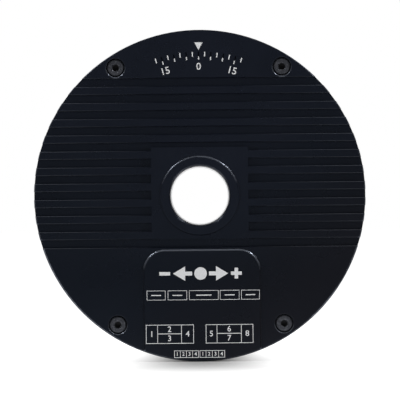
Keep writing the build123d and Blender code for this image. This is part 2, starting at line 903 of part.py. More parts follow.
def housing_screws():
    """Long screws that hold the front housing to the motor housing."""
    length = gear_end - housing_screw_head + housing_screw_engagement
    screw = Rot(180, 0, 0) * cap_screw(M3, length)
    return round_pattern(Pos(0, 0, housing_screw_head) * screw, mount_radius, housing_screw_count)


def output_seal():
    """Rubber seal between the front lip and the turning flange."""
    inner = flange_outer + bearing_clearance
    web = seal_inset + seal_web
    back = front_lip - seal_inset
    return turned(
        (inner, seal_inset),
        (inner + seal_lip, seal_inset),
        (inner + seal_lip + seal_slope, web),
        (lip_inner, web),
        (lip_inner, back),
        (inner, back),
    )


def race_height():
    """Middle height of the crossed-roller bearing."""
    return cross_bearing_front + cross_bearing_height / 2


def race_depth():
    """Half the width of the square track that the crossed rollers run in."""
    return (cross_roller_diameter / 2 + bearing_clearance) * sqrt(2)


def output_bearing_outer_ring():
    """Outer ring of the crossed-roller bearing, with its V-shaped track."""
    face = roller_pitch + cross_bearing_gap / 2
    mouth = race_depth() - cross_bearing_gap / 2
    middle = race_height()
    return turned(
        (face, cross_bearing_front),
        (housing_inner, cross_bearing_front),
        (housing_inner, cross_bearing_rear),
        (face, cross_bearing_rear),
        (face, middle + mouth),
        (roller_pitch + race_depth(), middle),
        (face, middle - mouth),
    )


def output_bearing_inner_ring():
    """Inner ring of the crossed-roller bearing, on the output flange's rim."""
    face = roller_pitch - cross_bearing_gap / 2
    mouth = race_depth() - cross_bearing_gap / 2
    middle = race_height()
    return turned(
        (flange_rim_outer, cross_bearing_front),
        (face, cross_bearing_front),
        (face, middle - mouth),
        (roller_pitch - race_depth(), middle),
        (face, middle + mouth),
        (face, cross_bearing_rear),
        (flange_rim_outer, cross_bearing_rear),
    )


def output_bearing_rollers():
    """Rollers whose axes lean inwards and outwards by turns."""
    rollers = []
    for n in range(cross_roller_count):
        lean = 45 if n % 2 else -45
        place = polar(roller_pitch, 360 * n / cross_roller_count) * Pos(0, 0, race_height())
        roller = Cylinder(cross_roller_diameter / 2, cross_roller_length)
        rollers.append(place * Rot(0, lean, 0) * roller)
    return rollers


def slotted_ring(outer, inner):
    """Threaded lock ring behind the crossed-roller bearing, with spanner slots."""
    top = cross_bearing_rear + lock_ring_height
    body = ring(outer, inner, cross_bearing_rear, top)
    slot = Pos(0, 0, top - lock_slot_depth) * block(outer - inner + 2, lock_slot_width, lock_slot_depth + 1)
    for cut in round_pattern(slot, (outer + inner) / 2, lock_slot_count):
        body -= cut
    return body


def outer_lock_ring():
    """Ring that holds the bearing's outer ring in the front housing."""
    return slotted_ring(housing_inner, housing_inner - lock_ring_width)


def inner_lock_ring():
    """Ring that holds the bearing's inner ring on the flange."""
    return slotted_ring(flange_rim_outer + lock_ring_width, flange_rim_outer)


def bearing_ring_pair(bottom, outer):
    """One ring of a rotor bearing. The outer one has ribs that keep the rollers in line."""
    top = bottom + bearing_height
    if not outer:
        return ring(sleeve_outer + bearing_ring_wall, sleeve_outer, bottom, top)
    race = bearing_outer - bearing_ring_wall
    rib = race - bearing_rib_height
    return turned(
        (rib, bottom),
        (bearing_outer, bottom),
        (bearing_outer, top),
        (rib, top),
        (rib, top - bearing_rib_width),
        (race, top - bearing_rib_width),
        (race, bottom + bearing_rib_width),
        (rib, bottom + bearing_rib_width),
    )


def rotor_bearing_outer_rings():
    """Outer rings of the two rotor bearings."""
    return [bearing_ring_pair(front_bearing, True), bearing_ring_pair(rear_bearing, True)]


def rotor_bearing_inner_rings():
    """Inner rings of the two rotor bearings."""
    return [bearing_ring_pair(front_bearing, False), bearing_ring_pair(rear_bearing, False)]


def rotor_bearing_rollers():
    """Rollers of the two rotor bearings."""
    inner = sleeve_outer + bearing_ring_wall
    outer = bearing_outer - bearing_ring_wall
    radius = (outer - inner) / 2 - bearing_clearance
    length = bearing_height - 2 * bearing_rib_width - 4 * bearing_clearance
    roller = Cylinder(radius, length)
    rollers = []
    for bottom in (front_bearing, rear_bearing):
        placed = Pos(0, 0, bottom + bearing_height / 2) * roller
        rollers += round_pattern(placed, (inner + outer) / 2, bearing_roller_count)
    return rollers


def output_flange():
    """Output flange with the rim that carries the bearing and the ring gear."""
    edge = housing_edge_chamfer
    rim_end = output_stage + gear_width
    body = turned(
        (tube_outer, flange_front + pilot_depth),
        (pilot_radius, flange_front + pilot_depth),
        (pilot_radius, flange_front),
        (flange_outer - edge, flange_front),
        (flange_outer, flange_front + edge),
        (flange_outer, cross_bearing_front),
        (flange_rim_outer, cross_bearing_front),
        (flange_rim_outer, rim_end),
        (output_ring_outer, rim_end),
        (output_ring_outer, flange_back),
        (flange_hub_radius, flange_back),
        (flange_hub_radius, carrier_front + carrier_hub_length),
        (flange_hub_inner, carrier_front + carrier_hub_length),
        (flange_hub_inner, flange_back),
        (tube_outer, flange_back),
    )
    tapped = rod(output_tap_radius, flange_front - 1, flange_front + output_tap_depth)
    dowel = rod(output_dowel_radius, flange_front - 1, flange_front + output_tap_depth)
    step = 360 / output_bolt_count
    for hole in round_pattern(tapped, output_bolt_circle / 2, output_bolt_count, step / 2):
        body -= hole
    for hole in round_pattern(dowel, output_bolt_circle / 2, 2, 90):
        body -= hole
    for key in ring_gear_keys():
        body -= key
    return body


def output_ring_gear():
    """Internal gear of the output stage, keyed into the flange's rim."""
    top = output_stage + gear_width
    body = rod(output_ring_outer, output_stage, top)
    body -= ring_gear_opening(output_ring_teeth, output_module, output_stage - 1, top + 1)
    for key in ring_gear_keys():
        body -= key
    return body


def ring_gear_keys():
    """Round keys half in the ring gear and half in the flange's rim."""
    key = rod(key_radius, output_stage, output_stage + gear_width)
    return round_pattern(key, output_ring_outer, key_count, 180 / key_count)


def hollow_tube():
    """Tube that turns with the output and leaves the bore free for cables."""
    return ring(tube_outer, bore_radius, flange_front + pilot_depth, tube_end)


def output_encoder_magnet():
    """Magnet ring on the rear end of the hollow tube."""
    top = output_magnet_front + output_magnet_height
    return ring(tube_outer + output_magnet_width, tube_outer, output_magnet_front, top)


def rotor_sleeve():
    """Hollow rotor shaft round the through tube."""
    return ring(sleeve_outer, sleeve_inner, fixed_stage - free_gap, sleeve_end)


def sun_gear():
    """Sun gear on the front end of the sleeve, with a boss up to the bearing."""
    body = spur_gear(sun_teeth, gear_module, fixed_stage, gear_end)
    body += rod(sleeve_outer + sun_boss_wall, gear_end - join_overlap, front_bearing)
    return body - rod(sleeve_outer, 0, cover_face)


def rotor_hub():
    """Web and rim that carry the back iron, with holes that lighten the web."""
    boss = sleeve_outer + rotor_boss_wall
    middle = (front_bearing + bearing_height + rear_bearing) / 2
    web_front = middle - rotor_web / 2
    web_rear = middle + rotor_web / 2
    body = turned(
        (sleeve_outer, front_bearing + bearing_height),
        (sleeve_outer + bearing_ring_wall, front_bearing + bearing_height),
        (boss, front_bearing + bearing_height + 1),
        (boss, web_front),
        (rotor_rim_inner, web_front),
        (rotor_rim_inner, stator_front),
        (back_iron_inner, stator_front),
        (back_iron_inner, stator_rear),
        (rotor_rim_inner, stator_rear),
        (rotor_rim_inner, web_rear),
        (boss, web_rear),
        (boss, rear_bearing - 1),
        (sleeve_outer + bearing_ring_wall, rear_bearing),
        (sleeve_outer, rear_bearing),
    )
    hole_radius = (rotor_rim_inner - boss) / 2 - rotor_hole_margin
    hole = rod(hole_radius, web_front - 1, web_rear + 1)
    for cut in round_pattern(hole, (boss + rotor_rim_inner) / 2, rotor_hole_count):
        body -= cut
    return body


def rotor_back_iron():
    """Steel ring behind the magnets."""
    return ring(magnet_inner, back_iron_inner, stator_front, stator_rear)


def rotor_magnets():
    """Bar magnets round the back iron, with flat backs cut to the ring's curve."""
    width = 2 * pi * magnet_inner / magnet_count - magnet_gap
    whole = ring(magnet_outer, magnet_inner, stator_front, stator_rear)
    bar = Pos(0, 0, stator_front - 1) * block(4 * magnet_thickness, width, stator_length + 2)
    places = round_pattern(bar, (magnet_inner + magnet_outer) / 2, magnet_count)
    return [whole & place for place in places]


def rotor_lock_nut():
    """Nut that clamps the bearings and the hub on the sleeve."""
    outer = sleeve_outer + lock_nut_width
    return ring(outer, sleeve_outer, nut_front, rotor_magnet_front, edge_chamfer)


def rotor_encoder_magnet():
    """Magnet ring on the rear end of the rotor sleeve."""
    outer = sleeve_outer + rotor_magnet_width
    return ring(outer, sleeve_outer, rotor_magnet_front, sleeve_end)


def carrier_outer():
    """Outer radius of the carrier plates, inside the output ring's rim."""
    return fixed_ring_radius - carrier_margin


def carrier_rear_plate():
    """Rear carrier plate with the posts that reach the front plate."""
    bore = sun_radius + gear_module + free_gap
    body = ring(carrier_outer(), bore, carrier_rear, carrier_end, edge_chamfer)
    post = rod(carrier_post_radius, carrier_front + carrier_plate, carrier_rear + join_overlap)
    for place in round_pattern(post, gear_centre, planet_count, 180 / planet_count):
        body += place
    thread = rod(M3[0], carrier_front, carrier_rear)
    for place in round_pattern(thread, gear_centre, planet_count, 180 / planet_count):
        body -= place
    for place in round_pattern(rod(planet_pin_radius, 0, cover_face), gear_centre, planet_count):
        body -= place
    return body


def carrier_front_plate():
    """Front carrier plate with the hub that holds the bush."""
    bore = flange_hub_radius + running_clearance + carrier_bush_wall
    plate_end = carrier_front + carrier_plate
    body = turned(
        (bore, carrier_front),
        (carrier_outer(), carrier_front),
        (carrier_outer(), plate_end),
        (carrier_hub_outer, plate_end),
        (carrier_hub_outer, carrier_front + carrier_hub_length),
        (bore, carrier_front + carrier_hub_length),
    )
    head = M3[1]
    seat = turned(
        (0, carrier_front - 1),
        (head, carrier_front - 1),
        (head, carrier_front),
        (M3[0], carrier_front + countersink_depth),
        (M3[0], plate_end + 1),
        (0, plate_end + 1),
    )
    for place in round_pattern(seat, gear_centre, planet_count, 180 / planet_count):
        body -= place
    for place in round_pattern(rod(planet_pin_radius, 0, cover_face), gear_centre, planet_count):
        body -= place
    return body


def carrier_screws():
    """Countersunk screws through the front plate into the posts."""
    screw = turned(
        (0, carrier_front),
        (M3[1], carrier_front),
        (M3[0], carrier_front + countersink_depth),
        (M3[0], carrier_front + carrier_plate + carrier_screw_engagement),
        (0, carrier_front + carrier_plate + carrier_screw_engagement),
    )
    return round_pattern(screw, gear_centre, planet_count, 180 / planet_count)


def planet_pins():
    """Pins on which the stepped planets turn."""
    return round_pattern(rod(planet_pin_radius, carrier_front, carrier_end), gear_centre, planet_count)


def carrier_bush():
    """Plain bush between the carrier and the output flange's hub."""
    inner = flange_hub_radius + running_clearance
    return ring(inner + carrier_bush_wall, inner, carrier_front, carrier_front + carrier_hub_length)


def planet_gears():
    """Four equal stepped planets, each with a tooth gap towards sun and ring gears."""
    bore = planet_pin_radius + running_clearance + planet_bush_wall
    large = Rot(0, 0, 180 / fixed_planet_teeth) * spur_gear(
        fixed_planet_teeth, gear_module, fixed_stage, gear_end
    )
    small = Rot(0, 0, 180 / output_planet_teeth) * spur_gear(
        output_planet_teeth, output_module, output_stage, fixed_stage
    )
    gear = large + small - rod(bore, 0, cover_face)
    return round_pattern(gear, gear_centre, planet_count)


def planet_bushes():
    """Bronze bush in each planet."""
    inner = planet_pin_radius + running_clearance
    bush = ring(inner + planet_bush_wall, inner, output_stage, gear_end)
    return round_pattern(bush, gear_centre, planet_count)


nodes = {
    "rear_cover": rear_cover(),
    "cover_screws": cover_screws(),
    "connector_bezel": connector_bezel(),
    "power_connectors": power_connectors(),
    "signal_connectors": signal_connectors(),
    "power_contacts": power_contacts(),
    "signal_contacts": signal_contacts(),
    "controller_board": controller_board(),
    "power_transistors": power_transistors(),
    "thermal_pad": thermal_pad(),
    "bus_capacitors": bus_capacitors(),
    "encoder_sensors": encoder_sensors(),
    "board_standoffs": board_standoffs(),
    "board_screws": board_screws(),
    "driver_plate": driver_plate(),
    "driver_plate_screws": driver_plate_screws(),
    "motor_housing": motor_housing(),
    "stator_core": stator_core(),
    "stator_windings": stator_windings(),
    "phase_leads": phase_leads(),
    "fixed_ring_gear": fixed_ring_gear(),
    "ring_gear_screws": ring_gear_screws(),
    "front_housing": front_housing(),
    "housing_screws": housing_screws(),
    "output_seal": output_seal(),
    "output_bearing_outer_ring": output_bearing_outer_ring(),
    "outer_lock_ring": outer_lock_ring(),
    "rotor_bearing_outer_rings": rotor_bearing_outer_rings(),
    "output_flange": output_flange(),
    "output_ring_gear": output_ring_gear(),
    "ring_gear_keys": ring_gear_keys(),
    "output_bearing_inner_ring": output_bearing_inner_ring(),
    "inner_lock_ring": inner_lock_ring(),
    "hollow_tube": hollow_tube(),
    "output_encoder_magnet": output_encoder_magnet(),
    "output_bearing_rollers": output_bearing_rollers(),
    "rotor_sleeve": rotor_sleeve(),
    "sun_gear": sun_gear(),
    "rotor_hub": rotor_hub(),
    "rotor_back_iron": rotor_back_iron(),
    "rotor_magnets": rotor_magnets(),
    "rotor_bearing_inner_rings": rotor_bearing_inner_rings(),
    "rotor_lock_nut": rotor_lock_nut(),
    "rotor_encoder_magnet": rotor_encoder_magnet(),
    "rotor_bearing_rollers": rotor_bearing_rollers(),
    "carrier_rear_plate": carrier_rear_plate(),
    "carrier_front_plate": carrier_front_plate(),
    "carrier_screws": carrier_screws(),
    "planet_pins": planet_pins(),
    "carrier_bush": carrier_bush(),
}
for number, gear in enumerate(planet_gears(), 1):
    nodes[f"planet_gear_{number}"] = gear
for number, bush in enumerate(planet_bushes(), 1):
    nodes[f"planet_bush_{number}"] = bush

os.makedirs("parts", exist_ok=True)
for name, shape in nodes.items():
    pieces = shape if isinstance(shape, list) else [shape]
    solids = [solid for piece in pieces for solid in piece.solids()]
    whole = Compound(solids) if len(solids) > 1 else solids[0]
    export_step(Rot(90, 0, 0) * whole, f"parts/{name}.step")
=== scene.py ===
import json
from math import cos, pi, radians, sin

import bmesh
import bpy
from mathutils import Matrix, Vector


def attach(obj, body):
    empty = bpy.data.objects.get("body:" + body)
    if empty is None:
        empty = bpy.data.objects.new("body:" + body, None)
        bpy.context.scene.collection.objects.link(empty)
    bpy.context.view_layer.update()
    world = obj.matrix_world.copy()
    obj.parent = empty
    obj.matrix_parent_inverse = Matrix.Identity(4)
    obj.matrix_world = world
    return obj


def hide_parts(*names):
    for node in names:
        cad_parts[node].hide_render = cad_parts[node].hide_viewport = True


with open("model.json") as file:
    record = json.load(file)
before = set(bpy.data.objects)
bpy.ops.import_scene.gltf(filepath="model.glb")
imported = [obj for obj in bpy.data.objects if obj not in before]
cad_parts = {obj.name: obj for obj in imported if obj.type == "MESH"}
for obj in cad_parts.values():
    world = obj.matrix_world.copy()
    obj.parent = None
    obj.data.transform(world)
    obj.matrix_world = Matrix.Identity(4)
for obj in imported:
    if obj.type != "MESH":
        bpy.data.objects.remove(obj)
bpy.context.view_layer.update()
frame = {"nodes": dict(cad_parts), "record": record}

# Sizes of the cover, in metres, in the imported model's frame: x right, z up, the cover faces -y
mm = 0.001
face_y = -73.4 * mm
pad_y = -74.6 * mm
print_thickness = 0.03 * mm
housing_radius = 71.0 * mm
screw_place = (35.6 * mm, 55.0 * mm)

scene = bpy.context.scene
nodes = frame["nodes"]


def add_node(tree, kind, inputs=None, **settings):
    """A node of that kind in a tree, with values or links for its inputs."""
    made = tree.nodes.new(kind)
    for key, value in settings.items():
        setattr(made, key, value)
    for key, value in (inputs or {}).items():
        if isinstance(value, bpy.types.NodeSocket):
            tree.links.new(value, made.inputs[key])
        else:
            made.inputs[key].default_value = value
    return made


class Finish:
    """A procedural material with short calls for the textures that the finishes share."""

    def __init__(self, name, colour, roughness, metallic=0.0, specular=0.5):
        self.material = bpy.data.materials.new(name)
        self.material.use_nodes = True
        self.tree = self.material.node_tree
        self.shader = self.tree.nodes["Principled BSDF"]
        self.shader.inputs["Base Color"].default_value = (*colour, 1)
        self.shader.inputs["Roughness"].default_value = roughness
        self.shader.inputs["Metallic"].default_value = metallic
        self.shader.inputs["Specular IOR Level"].default_value = specular
        self.material.diffuse_color = (*colour, 1)
        self.object_place = self.node("ShaderNodeTexCoord").outputs["Object"]
        self.height = None

    def node(self, kind, inputs=None, **settings):
        return add_node(self.tree, kind, inputs, **settings)

    def math(self, operation, first, second=0.0, third=0.0):
        made = self.node("ShaderNodeMath", {0: first, 1: second, 2: third}, operation=operation)
        return made.outputs[0]

    def ramp(self, value, low, high, to_low=0.0, to_high=1.0):
        """Value from low..high, carried to to_low..to_high and held there."""
        made = self.node("ShaderNodeMapRange", {0: value, 1: low, 2: high, 3: to_low, 4: to_high})
        return made.outputs[0]

    def stretched(self, scale):
        """Object coordinates, stretched."""
        made = self.node("ShaderNodeMapping", {"Vector": self.object_place, "Scale": scale})
        return made.outputs["Vector"]

    def noise(self, scale, detail=3.0, place=None, roughness=0.55):
        inputs = {"Vector": place or self.object_place, "Scale": scale, "Detail": detail,
                  "Roughness": roughness}
        return self.node("ShaderNodeTexNoise", inputs).outputs["Fac"]

    def axes(self):
        made = self.node("ShaderNodeSeparateXYZ", {0: self.object_place})
        return made.outputs[0], made.outputs[1], made.outputs[2]

    def radius(self):
        """Distance from the joint's axis."""
        x, y, z = self.axes()
        squares = self.math("ADD", self.math("MULTIPLY", x, x), self.math("MULTIPLY", z, z))
        return self.math("SQRT", squares)

    def mix(self, factor, first, second):
        """Colour between two colours or colour sockets."""
        made = self.node("ShaderNodeMix", data_type="RGBA")
        for index, value in ((0, factor), (6, first), (7, second)):
            if isinstance(value, bpy.types.NodeSocket):
                self.tree.links.new(value, made.inputs[index])
            else:
                made.inputs[index].default_value = (*value, 1) if index else value
        return made.outputs[2]

    def from_screws(self):
        """Distance from the nearest cover screw's axis, and height above it, mirrored below."""
        x, y, z = self.axes()
        aside = self.math("SUBTRACT", self.math("ABSOLUTE", x), screw_place[0])
        above = self.math("SUBTRACT", self.math("ABSOLUTE", z), screw_place[1])
        squares = self.math("ADD", self.math("POWER", aside, 2.0), self.math("POWER", above, 2.0))
        return self.math("SQRT", squares), above

    def link(self, value, name):
        self.tree.links.new(value, self.shader.inputs[name])

    def paint(self, colour):
        self.link(colour, "Base Color")

    def gloss(self, value):
        self.link(value, "Roughness")

    def bump(self, height, distance, strength=1.0):
        """Adds relief of that depth, in metres, over what is there."""
        inputs = {"Height": height, "Distance": distance, "Strength": strength}
        if self.height is not None:
            inputs["Normal"] = self.height
        self.height = self.node("ShaderNodeBump", inputs).outputs["Normal"]
        self.link(self.height, "Normal")


def black_anodised():
    """Aluminium, anodised black: a satin, slightly blue skin, with its outer edges cut bright where the
    lamps strike, as painted highlights, and painted light round the bore and towards the top.
    """
    skin = Finish("black_anodised", (0.0025, 0.0035, 0.006), 0.34)
    x, y, z = skin.axes()
    radius = skin.radius()
    across = skin.math("ABSOLUTE", x)

    # The dye is lighter and bluer in soft clouds. It is also lighter round the bore, a painted
    # reflection, and lighter towards the top and darker towards the bottom, painted light. The lower
    # right turns less blue
    clouds = skin.math("MULTIPLY", skin.noise(26, 3), 0.6)
    painted_reflection_round_bore = skin.math("MULTIPLY", skin.ramp(radius, 62 * mm, 12 * mm), 0.4)
    depth = skin.math("ADD", skin.math("ADD", clouds, painted_reflection_round_bore),
                      skin.ramp(z, -55 * mm, 60 * mm, -0.45, 0.35))
    dye_and_painted_light = skin.mix(skin.ramp(depth, 0.2, 0.8), (0.0014, 0.0024, 0.0052), (0.0052, 0.0066, 0.0122))
    corner = skin.math("SUBTRACT", x, skin.math("MULTIPLY", z, 1.2))
    dye_and_painted_light = skin.mix(skin.ramp(corner, 30 * mm, 95 * mm, 0.0, 0.85), dye_and_painted_light, (0.0030, 0.0021, 0.0028))

    # A rounded edge is known by its slope
    normal = skin.node("ShaderNodeTexCoord").outputs["Normal"]
    slope = skin.math("ABSOLUTE", skin.node("ShaderNodeSeparateXYZ", {0: normal}).outputs[1])
    edge = skin.math("MULTIPLY", skin.ramp(slope, 0.1, 0.25), skin.ramp(slope, 0.985, 0.95))

    # Edges cut bright, as bare metal, only where the lamps strike them, so these are painted
    # highlights: the boss's upper arc, the rim's lower part, the lower half of each screw's
    # counterbore, and the pad's top edge
    boss = skin.math("MULTIPLY", skin.ramp(radius, 18.2 * mm, 17.8 * mm),
                     skin.ramp(z, 5 * mm, 12 * mm, 0.04))
    boss = skin.math("MULTIPLY", boss, skin.ramp(across, 3 * mm, 11 * mm, 0.5, 1.0))
    rim = skin.math("MULTIPLY", skin.ramp(radius, 70.0 * mm, 70.25 * mm),
                    skin.ramp(radius, 70.8 * mm, 70.6 * mm))
    rim = skin.math("MULTIPLY", rim, skin.ramp(z, 30 * mm, -20 * mm))
    reach, above = skin.from_screws()
    lower = skin.math("MULTIPLY", above, skin.math("SIGN", z))
    mouth = skin.math("MULTIPLY", skin.ramp(reach, 4.7 * mm, 4.5 * mm),
                      skin.ramp(lower, 1.0 * mm, -3.0 * mm))
    pad = skin.math("MULTIPLY", skin.ramp(z, -22.5 * mm, -22.8 * mm), skin.ramp(z, -32 * mm, -25 * mm))
    pad = skin.math("MULTIPLY", pad, skin.ramp(across, 27 * mm, 26 * mm))

    # All edges get a little painted highlight, more so towards the sides where the lamps catch them
    painted_highlight_places = skin.math("MULTIPLY", skin.ramp(across, 18 * mm, 60 * mm), 0.3)
    for place in (boss, rim, mouth, pad):
        painted_highlight_places = skin.math("MAXIMUM", painted_highlight_places, place)
    scuffs = skin.ramp(skin.noise(900, 4), 0.4, 0.7, 0.7, 1.0)
    painted_edge_highlight = skin.math("MULTIPLY", skin.math("MULTIPLY", edge, painted_highlight_places), scuffs)
    skin.paint(skin.mix(painted_edge_highlight, dye_and_painted_light, (0.155, 0.17, 0.205)))
    skin.link(skin.math("MULTIPLY", painted_edge_highlight, 0.9), "Metallic")

    # Where an edge isn't lightened as a painted highlight it is dull, and so is all of the cover's
    # rounded outer edge
    outer = skin.math("MULTIPLY", skin.ramp(y, -72.6 * mm, -72.8 * mm), skin.ramp(slope, 0.985, 0.95))
    sheen = skin.math("SUBTRACT", 1.0, skin.math("MULTIPLY", skin.math("MAXIMUM", edge, outer), 0.85))
    sheen = skin.math("MULTIPLY", sheen, skin.ramp(z, -18 * mm, -34 * mm, 0.52, 0.43))
    skin.link(sheen, "Specular IOR Level")
    skin.shader.inputs["Specular Tint"].default_value = (0.66, 0.77, 1.0, 1)
    skin.gloss(skin.ramp(skin.noise(70, 4), 0.3, 0.7, 0.25, 0.33))
    skin.bump(skin.noise(9000, 2), 0.004 * mm, 0.3)
    return skin


def machined_aluminium():
    """Turned aluminium with fine circular tool marks about the joint's axis."""
    metal = Finish("machined_aluminium", (0.62, 0.62, 0.64), 0.3, 1.0)
    rings = metal.node("ShaderNodeCombineXYZ", {0: metal.radius(), 1: metal.axes()[1]}).outputs[0]
    marks = metal.noise(5200, 2, rings)
    metal.paint(metal.mix(metal.noise(60, 3), (0.55, 0.55, 0.57), (0.67, 0.67, 0.68)))
    metal.gloss(metal.ramp(marks, 0.3, 0.7, 0.24, 0.38))
    metal.bump(marks, 0.006 * mm, 0.6)
    return metal


def gear_steel():
    """Ground steel with a thin film of oil."""
    metal = Finish("gear_steel", (0.42, 0.42, 0.43), 0.28, 1.0)
    grain = metal.noise(900, 3, metal.stretched((1, 6, 1)))
    metal.paint(metal.mix(grain, (0.36, 0.36, 0.37), (0.47, 0.465, 0.46)))
    metal.gloss(metal.ramp(metal.noise(120, 3), 0.3, 0.7, 0.2, 0.36))
    metal.bump(grain, 0.004 * mm, 0.5)
    metal.shader.inputs["Coat Weight"].default_value = 0.25
    metal.shader.inputs["Coat Roughness"].default_value = 0.1
    return metal


def bearing_steel():
    """Polished bearing steel."""
    metal = Finish("bearing_steel", (0.55, 0.55, 0.56), 0.12, 1.0)
    metal.paint(metal.mix(metal.noise(300, 3), (0.52, 0.52, 0.53), (0.58, 0.58, 0.585)))
    metal.gloss(metal.ramp(metal.noise(1500, 2), 0.3, 0.7, 0.08, 0.17))
    return metal


def laminated_steel():
    """Stacked and varnished electrical sheets, 0.5 mm each."""
    metal = Finish("laminated_steel", (0.3, 0.31, 0.33), 0.45, 0.8)
    layers = metal.math("PINGPONG", metal.axes()[1], 0.25 * mm)
    gap = metal.ramp(layers, 0.0, 0.06 * mm)
    metal.paint(metal.mix(gap, (0.05, 0.045, 0.04), (0.31, 0.32, 0.34)))
    metal.gloss(metal.ramp(metal.noise(400, 3), 0.3, 0.7, 0.35, 0.55))
    metal.bump(gap, 0.05 * mm, 0.8)
    return metal


def enamelled_copper():
    """Enamelled wire, 0.9 mm thick, wound in layers round each tooth."""
    wire = Finish("enamelled_copper", (0.72, 0.3, 0.12), 0.3, 0.9)
    turns = wire.math("PINGPONG", wire.radius(), 0.45 * mm)
    crown = wire.ramp(turns, 0.0, 0.3 * mm)
    wire.paint(wire.mix(crown, (0.16, 0.045, 0.015), (0.75, 0.32, 0.13)))
    wire.gloss(wire.ramp(wire.noise(500, 3), 0.3, 0.7, 0.22, 0.4))
    wire.bump(crown, 0.25 * mm, 0.9)
    return wire


def turned_bronze():
    metal = Finish("turned_bronze", (0.6, 0.4, 0.18), 0.3, 1.0)
    grain = metal.noise(700, 3, metal.stretched((1, 8, 1)))
    metal.paint(metal.mix(grain, (0.5, 0.31, 0.12), (0.68, 0.48, 0.24)))
    metal.gloss(metal.ramp(grain, 0.3, 0.7, 0.24, 0.42))
    metal.bump(grain, 0.006 * mm, 0.5)
    return metal


def plated_gold():
    metal = Finish("plated_gold", (0.83, 0.58, 0.22), 0.2, 1.0)
    metal.paint(metal.mix(metal.noise(1200, 3), (0.78, 0.52, 0.18), (0.88, 0.66, 0.3)))
    metal.gloss(metal.ramp(metal.noise(2500, 2), 0.3, 0.7, 0.14, 0.28))
    return metal


def plated_magnet():
    """Nickel-plated magnet."""
    metal = Finish("plated_magnet", (0.5, 0.49, 0.46), 0.22, 1.0)
    metal.paint(metal.mix(metal.noise(350, 3), (0.45, 0.44, 0.41), (0.56, 0.55, 0.52)))
    metal.gloss(metal.ramp(metal.noise(900, 3), 0.3, 0.7, 0.16, 0.32))
    metal.bump(metal.noise(2400, 2), 0.005 * mm, 0.4)
    return metal


def moulded(name, dark, light, low, high, grain=2200):
    """Moulded plastic, rubber or pressed powder with a fine grain."""
    skin = Finish(name, dark, (low + high) / 2)
    skin.paint(skin.mix(skin.noise(160, 3), dark, light))
    skin.gloss(skin.ramp(skin.noise(500, 3), 0.3, 0.7, low, high))
    skin.bump(skin.noise(grain, 3), 0.015 * mm, 0.5)
    return skin


def circuit_board():
    """Green solder mask over copper tracks, with tinned pads."""
    board = Finish("circuit_board", (0.012, 0.09, 0.045), 0.35)
    x, y, z = board.axes()
    plan = board.node("ShaderNodeCombineXYZ", {0: x, 1: z}).outputs[0]
    cells = {"Vector": plan, "Scale": 260.0}
    blocks = board.node("ShaderNodeTexVoronoi", cells, distance="MANHATTAN", feature="DISTANCE_TO_EDGE")
    tracks = board.ramp(blocks.outputs["Distance"], 0.05, 0.09, 1.0, 0.0)
    pads = board.node("ShaderNodeTexVoronoi", {"Vector": plan, "Scale": 420.0}, distance="CHEBYCHEV")
    pad = board.ramp(pads.outputs["Distance"], 0.14, 0.17, 1.0, 0.0)
    mask = board.mix(tracks, (0.008, 0.07, 0.034), (0.03, 0.17, 0.08))
    board.paint(board.mix(pad, mask, (0.55, 0.54, 0.5)))
    board.gloss(board.ramp(board.noise(300, 3), 0.3, 0.7, 0.28, 0.42))
    board.bump(tracks, 0.03 * mm, 0.5)
    return board


def burnished_steel():
    """Black-oxided screw steel, rubbed lighter in places, and darkened to near black in the cover
    screws' sockets.
    """
    metal = Finish("burnished_steel", (0.04, 0.04, 0.044), 0.38, 0.6, 0.4)
    rub = metal.ramp(metal.noise(1400, 4), 0.45, 0.8)
    socket = metal.ramp(metal.from_screws()[0], 1.5 * mm, 1.2 * mm)
    steel = metal.mix(rub, (0.066, 0.07, 0.084), (0.15, 0.156, 0.176))
    metal.paint(metal.mix(socket, steel, (0.006, 0.006, 0.008)))
    metal.gloss(metal.ramp(metal.noise(800, 3), 0.3, 0.7, 0.3, 0.46))
    metal.bump(metal.noise(5000, 2), 0.004 * mm, 0.4)
    return metal


def printing_ink():
    """Screen-printed light ink, a little worn."""
    ink = Finish("printing_ink", (0.8, 0.81, 0.83), 0.55, specular=0.3)
    ink.paint(ink.mix(ink.noise(1800, 4), (0.76, 0.77, 0.79), (0.9, 0.91, 0.92)))
    ink.gloss(ink.ramp(ink.noise(2500, 2), 0.3, 0.7, 0.5, 0.65))
    return ink


finishes = {
    "black_anodised": black_anodised(),
    "dark_screw": burnished_steel(),
    "machined_aluminium": machined_aluminium(),
    "gear_steel": gear_steel(),
    "bearing_steel": bearing_steel(),
    "laminated_steel": laminated_steel(),
    "copper": enamelled_copper(),
    "bronze": turned_bronze(),
    "contact_gold": plated_gold(),
    "magnet": plated_magnet(),
    "bonded_magnet": moulded("bonded_magnet", (0.03, 0.03, 0.033), (0.06, 0.06, 0.063), 0.5, 0.7),
    "circuit_board": circuit_board(),
    "chip": moulded("chip_resin", (0.018, 0.018, 0.02), (0.03, 0.03, 0.032), 0.4, 0.55),
    "thermal_pad": moulded("thermal_pad", (0.28, 0.34, 0.46), (0.36, 0.42, 0.53), 0.7, 0.85),
    "seal_rubber": moulded("seal_rubber", (0.012, 0.012, 0.012), (0.022, 0.022, 0.022), 0.5, 0.7),
    "connector_plastic": moulded("connector_plastic", (0.7, 0.42, 0.03), (0.8, 0.52, 0.07), 0.35, 0.5),
    "bezel_plastic": moulded("bezel_plastic", (0.012, 0.012, 0.013), (0.022, 0.022, 0.024), 0.4, 0.55),
}
ink = printing_ink()

for part in frame["record"]["subparts"]:
    node = nodes[part["node"]]
    node.data.materials.clear()
    node.data.materials.append(finishes[part["material_slot"]].material)


